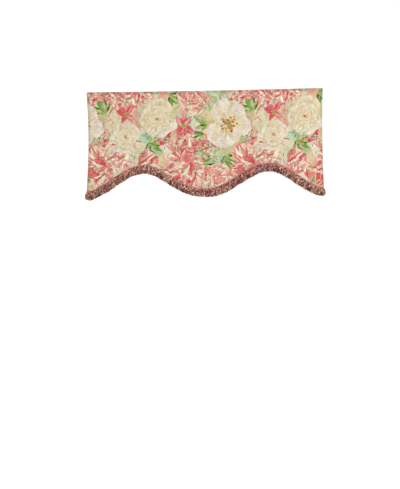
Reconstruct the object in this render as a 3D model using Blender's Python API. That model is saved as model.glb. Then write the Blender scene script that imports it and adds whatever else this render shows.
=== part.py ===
"""A scalloped window valance edged with a brush fringe, in the shape in which it hangs.

Metres, +Z up. The origin is the middle of the top edge, in the middle of the cloth's
thickness. The front faces -Y. At each side the cloth turns a soft fold into a return,
which runs back to the wall at y = RETURN_DEPTH.
"""

import math
import random
from collections import namedtuple

import bmesh
import bpy
from mathutils import Vector

# Cut and hang of the cloth
FRONT_WIDTH = 1.090
RETURN_DEPTH = 0.090
FOLD_RADIUS = 0.012
CLOTH_THICKNESS = 0.003
TOP_SAG = 0.003  # the top edge's middle hangs this far below its two corners

# The lower edge, in drops from the middle of the top edge: a lobe in the middle, an arch on each
# side of it, and a corner that cuts off the wave outside each arch. A fullness over 1 makes the
# lobe broader than a cosine. The two halves hang a little unlike: each side edge bows in by its
# mid height, and its lower corner stands off to one side (+X is to the right).
LOBE_X = 0.0115
LOBE_DROP = 0.451
HalfRow = namedtuple("HalfRow", "lobe_width fullness arch_drop outer_wave corner_drop bow_in corner_shift")
LEFT_HALF = HalfRow(lobe_width=0.293, fullness=1.28, arch_drop=0.337, outer_wave=0.297,
                    corner_drop=0.460, bow_in=0.0065, corner_shift=-0.009)
RIGHT_HALF = HalfRow(lobe_width=0.280, fullness=0.92, arch_drop=0.338, outer_wave=0.277,
                     corner_drop=0.458, bow_in=0.005, corner_shift=-0.0025)

# Soft folds down the front: where each crosses the lower edge, its half width, and how far
# it stands forward there. They die out at the top edge, which is held straight.
FoldRow = namedtuple("FoldRow", "x spread forward")
SOFT_FOLDS = (
    FoldRow(x=-0.455, spread=0.055, forward=0.0045),
    FoldRow(x=-0.330, spread=0.050, forward=-0.0020),
    FoldRow(x=-0.205, spread=0.070, forward=0.0050),
    FoldRow(x=-0.060, spread=0.060, forward=-0.0015),
    FoldRow(x=0.070, spread=0.065, forward=0.0040),
    FoldRow(x=0.215, spread=0.055, forward=-0.0020),
    FoldRow(x=0.325, spread=0.060, forward=0.0050),
    FoldRow(x=0.450, spread=0.045, forward=0.0025),
)
FOLD_GROWTH = 1.4  # the power of the drop's share by which a fold grows
FLAT_BY_CORNER = 8  # the power of the half width's share by which folds die out at the corners
RETURN_BULGE = 0.003

# Fineness of the cloth's surface
FRONT_COLUMNS = 62
FOLD_COLUMNS = 4
RETURN_COLUMNS = 4
ROWS = 12

# The brush fringe: a sewn heading and two rows of locks that hang from it
SEAM_GAP = 0.0003
HEADING_HEIGHT = 0.005
HEADING_THICKNESS = 0.005
LOCK_LENGTH = 0.0315
WRAP_LOCK_LENGTH = 0.0255  # on the corner folds and the returns, where the ends splay
LOCK_UNEVEN = 0.0022
LOCK_SWAY = 0.0004
LOCK_SPREAD = 0.0046  # from the heading's middle to the middle of a lock's cut end
LOCKS_PER_COLUMN = 2  # on the front and the returns; the corner folds have one
HANG = 0.35  # 1 hangs straight down, 0 stands square to the edge
WALL_CLEARANCE = 0.0005

# Each ring of a lock below its root: its share of the length, its width as a share of the
# root's, its depth, and how much of the spread it has taken up
RingRow = namedtuple("RingRow", "share width depth spread")
LOCK_RINGS = (
    RingRow(share=0.30, width=0.64, depth=0.0048, spread=0.60),
    RingRow(share=1.00, width=0.66, depth=0.0072, spread=1.00),
)

CLOTH_COLOUR = (0.83, 0.68, 0.60, 1.0)
FRINGE_COLOUR = (0.30, 0.14, 0.12, 1.0)

HALF_WIDTH = FRONT_WIDTH / 2
STRAIGHT = HALF_WIDTH - FOLD_RADIUS
DOWN = Vector((0, 0, -1))

# A place on the cloth's plan: the way that its face looks, how far it follows its corner's lean,
# and whether it is on the curve of a corner fold
Station = namedtuple("Station", "x y facing follow curved")

# A place on the lower edge: down is square to the edge, in the cloth's own plane
Edge = namedtuple("Edge", "point facing down curved")


def between(a, b, share):
    return a + (b - a) * share


def ease(share):
    return (1 - math.cos(math.pi * share)) / 2


def clear_scene():
    for thing in list(bpy.data.objects):
        bpy.data.objects.remove(thing)


def drop_at(x):
    """The cloth's length at x, from the level of the top edge's middle down to the scallop."""
    half = LEFT_HALF if x < LOBE_X else RIGHT_HALF
    away = abs(x - LOBE_X)
    if away < half.lobe_width:
        return between(LOBE_DROP, half.arch_drop, ease((away / half.lobe_width) ** half.fullness))
    corner = abs(math.copysign(HALF_WIDTH, x) - LOBE_X)
    fallen = ease((away - half.lobe_width) / half.outer_wave)
    return between(half.arch_drop, half.corner_drop, fallen / ease((corner - half.lobe_width) / half.outer_wave))


def half_plan(side):
    """The stations of one side, from its wall edge to just short of the middle."""
    plan = []
    for i in range(RETURN_COLUMNS):
        y = between(RETURN_DEPTH, FOLD_RADIUS, i / RETURN_COLUMNS)
        plan.append(Station(side * HALF_WIDTH, y, Vector((side, 0, 0)), ease(i / RETURN_COLUMNS), False))
    for i in range(FOLD_COLUMNS):
        turn = math.pi / 2 * i / FOLD_COLUMNS
        facing = Vector((side * math.cos(turn), -math.sin(turn), 0))
        x = side * STRAIGHT + FOLD_RADIUS * facing.x
        plan.append(Station(x, FOLD_RADIUS * (1 + facing.y), facing, 1.0, True))
    for i in range(FRONT_COLUMNS // 2):
        share = 1 - 2 * i / FRONT_COLUMNS
        plan.append(Station(side * STRAIGHT * share, 0.0, Vector((0, -1, 0)), share, False))
    return plan


def whole_plan():
    """The plan of the cloth, from the left return's wall edge round to the right return's."""
    middle = Station(0.0, 0.0, Vector((0, -1, 0)), 0.0, False)
    return [*half_plan(-1), middle, *reversed(half_plan(1))]


def stand_off(station, share):
    """How far the cloth stands out of its plan, along the way that it faces."""
    if station.curved:
        return 0.0
    if station.y > 0:
        along = (station.y - FOLD_RADIUS) / (RETURN_DEPTH - FOLD_RADIUS)
        return RETURN_BULGE * math.sin(math.pi * along) ** 2 * share
    free = 1 - abs(station.x / STRAIGHT) ** FLAT_BY_CORNER
    waves = sum(fold.forward * math.exp(-(((station.x - fold.x) / fold.spread) ** 2)) for fold in SOFT_FOLDS)
    return free * waves * share**FOLD_GROWTH


def cloth_point(station, share, offset=0.0):
    """A point of the cloth: share is 0 at the top edge and 1 at the scallop."""
    side, half = (-1, LEFT_HALF) if station.x < 0 else (1, RIGHT_HALF)
    lean = half.corner_shift * share**2 - side * half.bow_in * math.sin(math.pi * share)
    top = TOP_SAG * (station.x / HALF_WIDTH) ** 2
    z = between(top, -drop_at(station.x), share)
    point = Vector((station.x + lean * station.follow, station.y, z))
    return point + station.facing * (stand_off(station, share) + offset)


def add_object(name, bm, colour):
    mesh = bpy.data.meshes.new(name)
    bm.normal_update()
    bm.to_mesh(mesh)
    bm.free()
    material = bpy.data.materials.new(name)
    material.use_nodes = True
    shader = material.node_tree.nodes["Principled BSDF"]
    shader.inputs["Base Color"].default_value = colour
    shader.inputs["Roughness"].default_value = 0.9
    shader.inputs["Metallic"].default_value = 0.0
    mesh.materials.append(material)
    thing = bpy.data.objects.new(name, mesh)
    bpy.context.scene.collection.objects.link(thing)
    return thing


def build_cloth(plan):
    """The printed cloth: one sheet, its front and back skins joined by a rim all round."""
    bm = bmesh.new()
    skins = [
        [[bm.verts.new(cloth_point(s, row / ROWS, offset)) for row in range(ROWS + 1)] for s in plan]
        for offset in (CLOTH_THICKNESS / 2, -CLOTH_THICKNESS / 2)
    ]
    for skin, turned in zip(skins, (False, True)):
        for here, there in zip(skin, skin[1:]):
            for row in range(ROWS):
                corners = (here[row], here[row + 1], there[row + 1], there[row])
                bm.faces.new(reversed(corners) if turned else corners)
    front, back = skins
    for i in range(len(plan) - 1):
        bm.faces.new((front[i][0], front[i + 1][0], back[i + 1][0], back[i][0]))
        bm.faces.new((front[i + 1][-1], front[i][-1], back[i][-1], back[i + 1][-1]))
    for row in range(ROWS):
        bm.faces.new((front[0][row + 1], front[0][row], back[0][row], back[0][row + 1]))
        bm.faces.new((front[-1][row], front[-1][row + 1], back[-1][row + 1], back[-1][row]))
    cloth = add_object("valance_cloth", bm, CLOTH_COLOUR)
    cloth.data.shade_smooth()
    cloth.data.set_sharp_from_angle(angle=math.radians(40))


def hem_points(plan):
    """(point, facing, curved) at each side of every lock; curved if a corner fold comes next."""
    found = []
    for here, there in zip(plan, plan[1:]):
        curved = here.facing != there.facing
        start, end = cloth_point(here, 1.0), cloth_point(there, 1.0)
        parts = 1 if curved else LOCKS_PER_COLUMN
        for share in (part / parts for part in range(parts)):
            found.append((start.lerp(end, share), here.facing, curved))
    found.append((cloth_point(plan[-1], 1.0), plan[-1].facing, False))
    for point, *_ in (found[0], found[-1]):
        point.y -= WALL_CLEARANCE
    return found


def lower_edge(plan):
    points = hem_points(plan)
    edge = []
    for i, (point, facing, curved) in enumerate(points):
        before, after = points[max(i - 1, 0)][0], points[min(i + 1, len(points) - 1)][0]
        down = (after - before).cross(facing).normalized()
        edge.append(Edge(point, facing, down if down.z < 0 else -down, curved))
    return edge


def grow_lock(bm, root, here, there, outward, chance):
    """Grows one closed lock from a cell of the heading's underside, given its four corners."""
    facing = (here.facing + there.facing).normalized()
    along = (there.point - here.point).normalized()
    direction = (here.down + there.down).normalized().lerp(DOWN, HANG).normalized()
    length = LOCK_LENGTH if facing.x == 0 else WRAP_LOCK_LENGTH
    length += chance.uniform(-LOCK_UNEVEN, LOCK_UNEVEN)
    sway = chance.uniform(-LOCK_SWAY, LOCK_SWAY)
    half_width = (root[3].co - root[0].co).length / 2
    middle = (root[0].co + root[1].co + root[2].co + root[3].co) / 4
    start = middle - facing * outward * HEADING_THICKNESS / 4
    ring = root
    for row in LOCK_RINGS:
        centre = start + direction * length * row.share + along * sway * row.share
        centre += facing * outward * LOCK_SPREAD * row.spread
        across, through = along * half_width * row.width, facing * row.depth / 2
        places = (centre - across + through, centre - across - through,
                  centre + across - through, centre + across + through)
        below = [bm.verts.new(place) for place in places]
        for k in range(4):
            after = (k + 1) % 4
            bm.faces.new((ring[k], ring[after], below[after], below[k]))
        ring = below
    bm.faces.new(ring)


def build_fringe(plan):
    """The fringe: a narrow heading under the cloth's edge, and the locks fused into it."""
    edge = lower_edge(plan)
    half = HEADING_THICKNESS / 2
    bm = bmesh.new()
    rings = []
    for place in edge:
        top = place.point + place.down * SEAM_GAP
        bottom = top + place.down * HEADING_HEIGHT
        front = place.facing * half
        corners = (top + front, bottom + front, bottom, bottom - front, top - front)
        rings.append([bm.verts.new(corner) for corner in corners])
    chance = random.Random(11)
    for i, (here, there) in enumerate(zip(rings, rings[1:])):
        for k in range(5):
            after = (k + 1) % 5
            cell = (here[k], here[after], there[after], there[k])
            outward = {1: 1, 2: -1}.get(k)
            if outward == 1 or outward == -1 and not edge[i].curved:
                grow_lock(bm, cell, edge[i], edge[i + 1], outward, chance)
            else:
                bm.faces.new(cell)
    bm.faces.new(reversed(rings[0]))
    bm.faces.new(rings[-1])
    add_object("brush_fringe", bm, FRINGE_COLOUR)


def main():
    clear_scene()
    plan = whole_plan()
    build_cloth(plan)
    build_fringe(plan)


main()
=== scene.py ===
"""The looks of a scalloped window valance: printed cotton edged with a brush fringe.

Metres, in the frame's own axes: the origin is the middle of the top edge, +X runs to the
right, +Y from the front back to the wall and +Z up. Both solids are built again here, finer,
on the same folds. A place on the flat cloth is u, across from its middle, and drop, down from
its top edge.
"""

from collections import namedtuple
from itertools import product
from math import ceil, cos, floor, pi, radians, sin, sqrt, tau

import bpy
import numpy as np
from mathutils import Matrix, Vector


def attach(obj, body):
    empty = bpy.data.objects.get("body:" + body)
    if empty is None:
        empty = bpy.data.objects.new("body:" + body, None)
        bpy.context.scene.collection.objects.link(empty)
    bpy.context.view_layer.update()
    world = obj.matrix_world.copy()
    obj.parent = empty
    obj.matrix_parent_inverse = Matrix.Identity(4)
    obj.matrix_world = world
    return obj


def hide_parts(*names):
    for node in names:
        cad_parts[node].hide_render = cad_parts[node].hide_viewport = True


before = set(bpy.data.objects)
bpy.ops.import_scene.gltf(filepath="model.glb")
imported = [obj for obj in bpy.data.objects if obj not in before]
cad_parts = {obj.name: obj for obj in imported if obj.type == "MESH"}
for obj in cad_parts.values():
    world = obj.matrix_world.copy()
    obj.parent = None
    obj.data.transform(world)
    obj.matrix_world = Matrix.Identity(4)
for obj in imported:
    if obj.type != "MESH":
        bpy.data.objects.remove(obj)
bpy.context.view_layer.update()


def table(fields, *rows):
    """Rows whose values have names. A row may leave out its last two values, which are then 0."""
    row = namedtuple("Row", fields, defaults=(0, 0))
    return [row(*values) for values in rows]


# ---------- the hang, as the solids have it

FRONT_WIDTH = 1.09
RETURN_DEPTH = 0.09
FOLD_RADIUS = 0.012
TOP_SAG = 0.003

LOBE_X = 0.0115
LOBE_DROP = 0.451
LEFT_HALF, RIGHT_HALF = table(
    "lobe_width fullness arch_drop outer_wave corner_drop bow_in corner_shift",
    (0.293, 1.28, 0.337, 0.297, 0.46, 0.0065, -0.009),
    (0.28, 0.92, 0.338, 0.277, 0.458, 0.005, -0.0025),
)
SOFT_FOLDS = table(
    "x spread forward",
    (-0.455, 0.055, 0.0045),
    (-0.33, 0.05, -0.002),
    (-0.205, 0.07, 0.005),
    (-0.06, 0.06, -0.0015),
    (0.07, 0.065, 0.004),
    (0.215, 0.055, -0.002),
    (0.325, 0.06, 0.005),
    (0.45, 0.045, 0.0025),
)
FOLD_GROWTH = 1.4
FLAT_BY_CORNER = 8
RETURN_BULGE = 0.003

HALF_WIDTH = FRONT_WIDTH / 2
STRAIGHT = HALF_WIDTH - FOLD_RADIUS
RETURN_FLAT = RETURN_DEPTH - FOLD_RADIUS
HALF_FLAT = STRAIGHT + FOLD_RADIUS * pi / 2 + RETURN_FLAT  # from the middle to a wall edge

# Creases too fine for the solid, in millimetres: troughs (or ridges, where depth is negative)
# from u, drop towards turn, in degrees below the level
CREASES = table(
    "u drop turn length width depth",
    (-515, 10, 62, 150, 12, 1.2),
    (-470, 300, 80, 130, 16, -1.4),
    (-385, 15, 96, 120, 14, 0.9),
    (-300, 180, 84, 160, 13, 1.0),
    (-225, 240, 97, 120, 14, -1.2),
    (-150, 10, 88, 110, 12, 0.8),
    (-90, 260, 86, 160, 15, 1.3),
    (20, 300, 94, 140, 12, -1.0),
    (85, 20, 92, 140, 15, 0.9),
    (160, 230, 83, 140, 14, 1.1),
    (265, 170, 95, 150, 13, -1.1),
    (360, 12, 86, 130, 12, 1.0),
    (405, 250, 99, 150, 15, 1.3),
    (520, 8, 116, 140, 12, 1.1),
    (590, 120, 82, 200, 14, 1.0),
    (-592, 160, 96, 180, 14, 1.0),
)
PUCKER_DEPTH = 0.00045  # along the scallop, where the fringe is sewn on
PUCKER_PITCH = 0.0135
PUCKER_REACH = 0.02
PUCKER_WANDER = (0.031, 0.113)  # how slowly the puckers come and go

# The sheet's points, half thicknesses and hems
COLUMNS = 484
ROWS = 178
PRINT_STEP = 2  # places of the print for each of the front's columns and rows
BACK_STEP = 3  # columns and rows in front for each one at the back
HALF_THIN = 0.0006
HALF_HEM = 0.001
HEM_WIDTH = 0.012
HEM_EASE = 0.002
# painted shade: the print is made darker at the top hem and the corner folds
HEM_SHADE = 0.09  # at the top hem and the corner folds

Plan = namedtuple("Plan", "side across back x y face_x face_y")


def between(low, high, share):
    return low + (high - low) * share


def ease(share):
    return (1 - np.cos(pi * share)) / 2


def step(low, high, value):
    """0 below low, 1 above high, and smooth between them."""
    share = np.clip((value - low) / (high - low), 0, 1)
    return share * share * (3 - 2 * share)


def turned(dx, dy, turn):
    """How far dx, dy goes along turn, and how far aside of it."""
    c, s = cos(turn), sin(turn)
    return dx * c + dy * s, dy * c - dx * s


def half_drop(half, side, x):
    away = np.abs(x - LOBE_X)
    lobe = between(LOBE_DROP, half.arch_drop, ease(np.minimum(away / half.lobe_width, 1) ** half.fullness))
    corner = abs(side * HALF_WIDTH - LOBE_X)
    wave = half.outer_wave
    fallen = ease((away - half.lobe_width) / wave) / ease((corner - half.lobe_width) / wave)
    return np.where(away < half.lobe_width, lobe, between(half.arch_drop, half.corner_drop, fallen))


def drop_at(x):
    """How far the scallop is below the top edge's middle."""
    return np.where(x < LOBE_X, half_drop(LEFT_HALF, -1, x), half_drop(RIGHT_HALF, 1, x))


def plan_at(u):
    """The cloth's plan at u. across is the share of the front, and back that of the return."""
    side = np.where(u < 0, -1.0, 1.0)
    past = np.abs(u) - STRAIGHT
    turn = np.clip(past / FOLD_RADIUS, 0, pi / 2)
    back = np.clip((past - FOLD_RADIUS * pi / 2) / RETURN_FLAT, 0, 1)
    across = np.minimum(np.abs(u) / STRAIGHT, 1)
    x = side * (across * STRAIGHT + FOLD_RADIUS * np.sin(turn))
    y = FOLD_RADIUS * (1 - np.cos(turn)) + back * RETURN_FLAT
    return Plan(side, across, back, x, y, side * np.sin(turn), -np.cos(turn))


def creases(u, drop, length):
    """How far the finer creases stand out of the sheet."""
    out = np.zeros_like(u)
    for row in CREASES:
        along, aside = turned(u * 1000 - row.u, drop * 1000 - row.drop, radians(row.turn))
        fade = np.sin(pi * np.clip(along / row.length, 0, 1)) ** 1.5
        out -= row.depth / 1000 * fade * np.exp(-((aside / row.width) ** 2))
    near_hem = np.exp(-(((length - drop) / PUCKER_REACH) ** 2))
    wander = np.sin(u / PUCKER_WANDER[0] + 2 * np.sin(u / PUCKER_WANDER[1]))
    pucker = np.sin(tau * u / PUCKER_PITCH + 1.5 * wander)
    out += PUCKER_DEPTH * near_hem * (0.4 + 0.6 * wander) * pucker
    return out


def cloth_point(u, share, offset=0.0):
    """Points of the sheet: share is 0 at the top edge and 1 at the scallop."""
    plan = plan_at(u)
    left = plan.x < 0
    shift = np.where(left, LEFT_HALF.corner_shift, RIGHT_HALF.corner_shift)
    bow = np.where(left, LEFT_HALF.bow_in, RIGHT_HALF.bow_in)
    lean = shift * share**2 - plan.side * bow * np.sin(pi * share)
    follow = plan.across * ease(1 - plan.back)
    length = drop_at(plan.x)
    z = between(TOP_SAG * (plan.x / HALF_WIDTH) ** 2, -length, share)
    waves = sum(fold.forward * np.exp(-(((u - fold.x) / fold.spread) ** 2)) for fold in SOFT_FOLDS)
    out = (1 - plan.across**FLAT_BY_CORNER) * waves * share**FOLD_GROWTH
    out = out + RETURN_BULGE * np.sin(pi * plan.back) ** 2 * share + offset
    out = out + creases(u, share * length, length)
    return np.stack((plan.x + lean * follow + plan.face_x * out, plan.y + plan.face_y * out, z), axis=-1)


# ---------- the print

REPEAT = 0.686  # the print comes again after this far


def dye(red, green, blue):
    """A screen's colour, 0 to 255, as shares."""
    return np.array((red, green, blue), float) / 255


CREAM = dye(222, 205, 174)
IVORY = dye(231, 217, 192)
WHITISH = dye(232, 220, 201)
SHELL = dye(221, 206, 190)
STRAW = dye(216, 197, 144)
OCHRE = dye(178, 144, 86)
MINT = dye(186, 210, 174)
TEAL = dye(126, 150, 112)
SAGE = dye(180, 188, 130)
LIME = dye(170, 194, 94)
LEAF = dye(120, 156, 60)
DEEP = dye(48, 76, 32)
CORAL = dye(222, 118, 112)
RED = dye(216, 90, 90)
SALMON = dye(219, 145, 131)
BLUSH = dye(223, 172, 152)
ROSE = dye(212, 102, 122)
PINK = dye(226, 150, 154)
ORANGE = dye(208, 112, 64)
RUST = dye(154, 72, 50)
BROWN = dye(88, 58, 44)


def mix(a, b, share):
    return a + (b - a) * np.asarray(share)[..., None]


def lattice(i, j, seed):
    """A steady chance number from -1 to 1 for each whole place."""
    h = (i.astype(np.int64) * 374761393 + j.astype(np.int64) * 668265263 + seed * 974711) & 0xFFFFFFFF
    h = ((h ^ (h >> 13)) * 1274126177) & 0xFFFFFFFF
    return ((h ^ (h >> 16)) & 0xFFFF) / 32767.5 - 1


def noise(x, y, seed):
    i, j = np.floor(x), np.floor(y)
    along, down = step(0, 1, x - i), step(0, 1, y - j)
    top, bottom = (between(lattice(i, j + k, seed), lattice(i + 1, j + k, seed), along) for k in (0, 1))
    return between(top, bottom, down)


def clouds(x, y, seed, layers=3):
    total, size = 0.0, 1.0
    for layer in range(layers):
        total += noise(x / size, y / size, seed + 17 * layer) * size
        size /= 2
    return total / (2 - 2 * size)


def printed_noise(u, drop, scale, seed):
    """Noise that comes again with the print."""
    place = (u / REPEAT + 0.5) % 1.0
    here, before = (clouds((place - k) * REPEAT / scale, drop / scale, seed) for k in (0, 1))
    return between(here, before, step(0.8, 1.0, place))


class Canvas:
    """The flat cloth while it is printed: its points and their colours."""

    def __init__(self, u, drop):
        self.u, self.drop = u, drop
        self.colour = np.tile(CREAM, (len(u), 1))

    def near(self, x, y, reach):
        i = np.flatnonzero((np.abs(self.u - x) < reach) & (np.abs(self.drop - y) < reach))
        return i, self.u[i] - x, self.drop[i] - y

    def lay(self, i, colour, cover):
        self.colour[i] = mix(self.colour[i], colour, cover)


# Measures of the brushwork, in metres on the cloth
SOFT_EDGE = 0.0014
PETAL_WOBBLE = 0.0035
WOBBLE_SCALE = 0.018
PETAL_LINE = (0.0008, 0.0032)  # a petal's outline is full within the first and ends at the second
LEAF_LINE = (0.0006, 0.0024)
LOST_SCALE = 0.035  # the size of the places where a petal is left out
STROKE_SHAKE = 0.0012
STROKE_SHAKE_SCALE = 0.009
THIN_STROKE = 0.0034
RIM_STROKE = 0.0045
STALK = 0.0022
TURN_BY_LEAF = 2.4  # the golden angle in radians, from one mark to the next
STAMENS = 23

STROKE_COVER = 0.84
LEAF_COVER = 0.96
DOT_COVER = 0.9

# The colours of a petal's base, body, rim, stripes and outline
Paint = namedtuple("Paint", "base body rim stripe line")
PALE_BLUSH = between(IVORY, BLUSH, 0.4)
STRIPED_CORAL = Paint(RED, CORAL, SALMON, IVORY, IVORY)
SOFT_CORAL = Paint(CORAL, SALMON, BLUSH, PALE_BLUSH, IVORY)
BLUSHING = Paint(SALMON, BLUSH, PALE_BLUSH, IVORY, CORAL)
CREAMY = Paint(STRAW, CREAM, IVORY, SHELL, between(SHELL, STRAW, 0.6))
WHITE = Paint(STRAW, WHITISH, SHELL, WHITISH, between(SHELL, SAGE, 0.5))
ROSY = Paint(RED, ROSE, PINK, BLUSH, RED)
THROAT = Paint(LEAF, STRAW, ORANGE, STRAW, LEAF)

# How a petal is brushed: how strong and how fine its stripes are, how ruffled its outline is,
# whether it is widest far out (tip above 1) or near its base, and how much of it is lost
FULL, SOFT, BROAD, POINTED, SMALL = table(
    "stripes fine ruffle tip blunt lost",
    (1.0, 2.8, 0.14, 1.15, 0.55, 0.15),
    (0.7, 3.0, 0.18, 1.25, 0.5),
    (0.6, 3.0, 0.12, 1.3, 0.45),
    (0.9, 3.0, 0.1, 0.75, 0.6),
    (0.6, 2.0, 0.05, 0.75, 0.6),
)


def petal(art, x, y, turn, length, width, paint, brush, seed, bend=0.0):
    """One petal from x, y towards turn."""
    i, dx, dy = art.near(x, y, length * 1.2 + width * 0.3)
    along, aside = turned(dx, dy, turn)
    wobble = PETAL_WOBBLE * clouds(along / WOBBLE_SCALE + 9.1, aside / WOBBLE_SCALE, seed, 2)
    aside = aside + wobble + bend * (along / length) ** 2 * length
    s = (along + wobble) / length
    inside = np.clip(s, 0, 1)
    half = width / 2 * np.sin(pi * inside**brush.tip) ** brush.blunt
    depth = half * (1 + brush.ruffle * noise(s * 9 + 3, 0 * s + seed * 1.7, seed + 5)) - np.abs(aside)
    cover = step(0, SOFT_EDGE, depth) * (s > 0) * (s < 1.02)
    cover = cover * (1 - brush.lost * step(0.1, 0.6, noise(dx / LOST_SCALE, dy / LOST_SCALE, seed + 21)))
    keep = cover > 0.004
    i, s, depth, cover, inside, half, aside = (a[keep] for a in (i, s, depth, cover, inside, half, aside))
    t = aside / (half + 1e-4)
    flow = clouds(t * 2.6 + 5, s * 1.3 + seed, seed + 3)
    hair = noise(t * brush.fine + 0.8 * flow, s * 0.8 + seed, seed + 8)
    hair = hair + 0.35 * noise(t * brush.fine * 2.3, s * 1.8, seed + 9)
    colour = mix(paint.base, paint.body, step(0.1, 0.65, s + 0.35 * flow)) * (1 + 0.1 * hair)[:, None]
    colour = mix(colour, paint.rim, step(0.6, 1.0, s + 0.4 * flow + 0.2 * np.abs(t)))
    colour = mix(colour, paint.stripe, step(0.16, 0.32, hair) * brush.stripes * step(0.06, 0.3, s))
    colour = mix(colour, paint.base, step(0.16, 0.36, -hair) * brush.stripes * (1 - 0.4 * inside))
    colour = colour * (1 + 0.11 * brush.stripes * clouds(s * 4 + 2, t * 1.6, seed + 13, 2))[:, None]
    drawn = (1 - step(*PETAL_LINE, depth)) * step(-0.3, 0.2, noise(s * 4, t * 2, seed + 11))
    art.lay(i, mix(colour, paint.line, 0.9 * drawn), cover)


def stroke(art, x, y, turn, length, width, colour, seed, bend=0.0):
    i, dx, dy = art.near(x, y, length * 1.1)
    along, aside = turned(dx, dy, turn)
    s = along / length
    aside = aside + bend * (s * (1 - s)) * length
    aside = aside + STROKE_SHAKE * noise(along / STROKE_SHAKE_SCALE, 0 * along, seed)
    half = width / 2 * np.sin(pi * np.clip(s, 0, 1)) ** 0.5
    cover = step(-0.0006, 0.001, half - np.abs(aside)) * (s > 0) * (s < 1)
    cover = cover * step(-0.8, -0.3, noise(s * 3, aside / 0.004, seed + 1)) * STROKE_COVER
    art.lay(i, colour, cover)


def leaf(art, x, y, turn, length, width, light, dark, seed, bend=0.0):
    i, dx, dy = art.near(x, y, length * 1.15)
    along, aside = turned(dx, dy, turn)
    aside = aside + bend * (along / length) ** 2 * length + 0.0015 * noise(along / 0.01, aside / 0.01, seed)
    s = along / length
    half = width / 2 * np.sin(pi * np.clip(s, 0, 1) ** 0.8) ** 0.9
    depth = half - np.abs(aside)
    cover = step(-0.0003, 0.0013, depth) * (s > 0) * (s < 1)
    t = aside / (half + 1e-4)
    flow = clouds(t * 2.5 + 4, s * 3 + seed, seed)
    colour = mix(light, dark, step(-0.15, 0.4, 0.6 * t + flow * 0.8))
    colour = mix(colour, between(light, IVORY, 0.45), (1 - step(0.03, 0.2, np.abs(t + 0.15))) * 0.7)
    colour = mix(colour, MINT, 0.4 * step(0.2, 0.5, noise(t * 2, s * 2, seed + 2)))
    drawn = (1 - step(*LEAF_LINE, depth)) * step(-0.2, 0.3, noise(s * 5, t, seed + 6))
    art.lay(i, mix(colour, dark, 0.85 * drawn), cover * LEAF_COVER)


def dot(art, x, y, radius, colour, seed):
    i, dx, dy = art.near(x, y, radius * 2)
    away = np.hypot(dx, dy) * (1 + 0.3 * noise(dx / radius * 1.5, dy / radius * 1.5, seed))
    art.lay(i, colour, (1 - step(radius * 0.6, radius, away)) * DOT_COVER)


def out_from(m, away, angle):
    """The place so far from a motif's middle."""
    return m.x + away * cos(angle), m.y + away * sin(angle)


def spray(art, m):
    """Blades that fan out from one point."""
    for k in range(m.count):
        share = k / (m.count - 1) - 0.5
        sway = 0.35 * sin(7.3 * k + m.seed)
        length = m.size * (1 - 0.5 * abs(share)) * (1 + 0.3 * sway)
        light = (LIME, LEAF, SAGE)[(k + m.seed) % 3]
        dark = (DEEP, DEEP, LEAF)[k % 3]
        turn = m.turn + share * m.spread + 0.2 * sway
        leaf(art, m.x, m.y, turn, length, length * 0.33, light, dark, m.seed + k, bend=0.35 * share)


def pale_leaves(art, m):
    """Washed-out leaves that lie behind the flowers."""
    for k in range(m.count):
        turn = m.turn + m.spread * (k / (m.count - 1) - 0.5)
        length = m.size * (1 + 0.25 * sin(3.7 * k + m.seed))
        light = (MINT, SAGE, between(MINT, CREAM, 0.5))[(k + m.seed) % 3]
        dark = between(light, TEAL, 0.5)
        leaf(art, m.x, m.y, turn, length, length * 0.42, light, dark, m.seed + k, bend=0.2)


def bloom(art, m, paints, rings, brush):
    """A flower of rings of petals, the outer ones first."""
    for ring, row in enumerate(rings):
        for k in range(row.count):
            turn = m.turn + tau * (k + 0.5 * (ring % 2)) / row.count
            turn += 0.25 * sin(3.1 * k + 1.7 * ring + m.seed)
            length = m.size * row.length
            start = m.size * row.reach * (1 + 0.12 * sin(5.3 * k + 2.2 * ring + m.seed)) - length
            petal(art, m.x + start * cos(turn), m.y + 0.92 * start * sin(turn),
                  turn + 0.35 * sin(4.1 * k + m.seed), length, m.size * row.width,
                  paints[(k * 2 + ring + m.seed) % len(paints)], brush, m.seed * 13 + ring * 31 + k * 7,
                  bend=0.35 * sin(2.7 * k + ring + m.seed))


def swirl(art, m, reach, shade, body, light):
    """The closed middle of a rose: petals wound round each other, each lit at its rim."""
    radius = m.size * reach
    i, dx, dy = art.near(m.x, m.y, radius * 1.4)
    dx, dy = (dx + 0.01 * clouds(dx / 0.03, dy / 0.03, m.seed, 2),
              dy + 0.01 * clouds(dx / 0.03 + 7, dy / 0.03, m.seed + 1, 2))
    angle = np.arctan2(dy, dx)
    away = np.hypot(dx, dy * 1.15) / radius
    lobes = 0.25 * np.sin(3 * angle + m.seed + 2.5 * away)
    turns = 3.0 * np.clip(away, 0.02, 2) ** 0.85 + lobes + angle / tau
    fold = turns - np.floor(turns)
    flow = clouds(angle * 2.2, turns * 1.5, m.seed + 4)
    hair = noise(angle * 5 + 2 * flow, turns * 2.5, m.seed + 6)
    colour = mix(shade, body, step(0.05, 0.45, fold + 0.35 * flow))
    colour = mix(colour, light, step(0.45, 0.85, fold + 0.35 * flow + 0.2 * hair))
    colour = mix(colour, shade, 0.8 * (1 - step(0.1, 0.55, away)) * step(-0.2, 0.4, flow + 0.5 * hair))
    colour = mix(colour, shade, 0.5 * step(0.3, 0.6, hair))
    art.lay(i, colour, 1 - step(0.84, 1.0, away + 0.12 * np.sin(5 * angle + m.seed) + 0.1 * flow))


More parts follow.
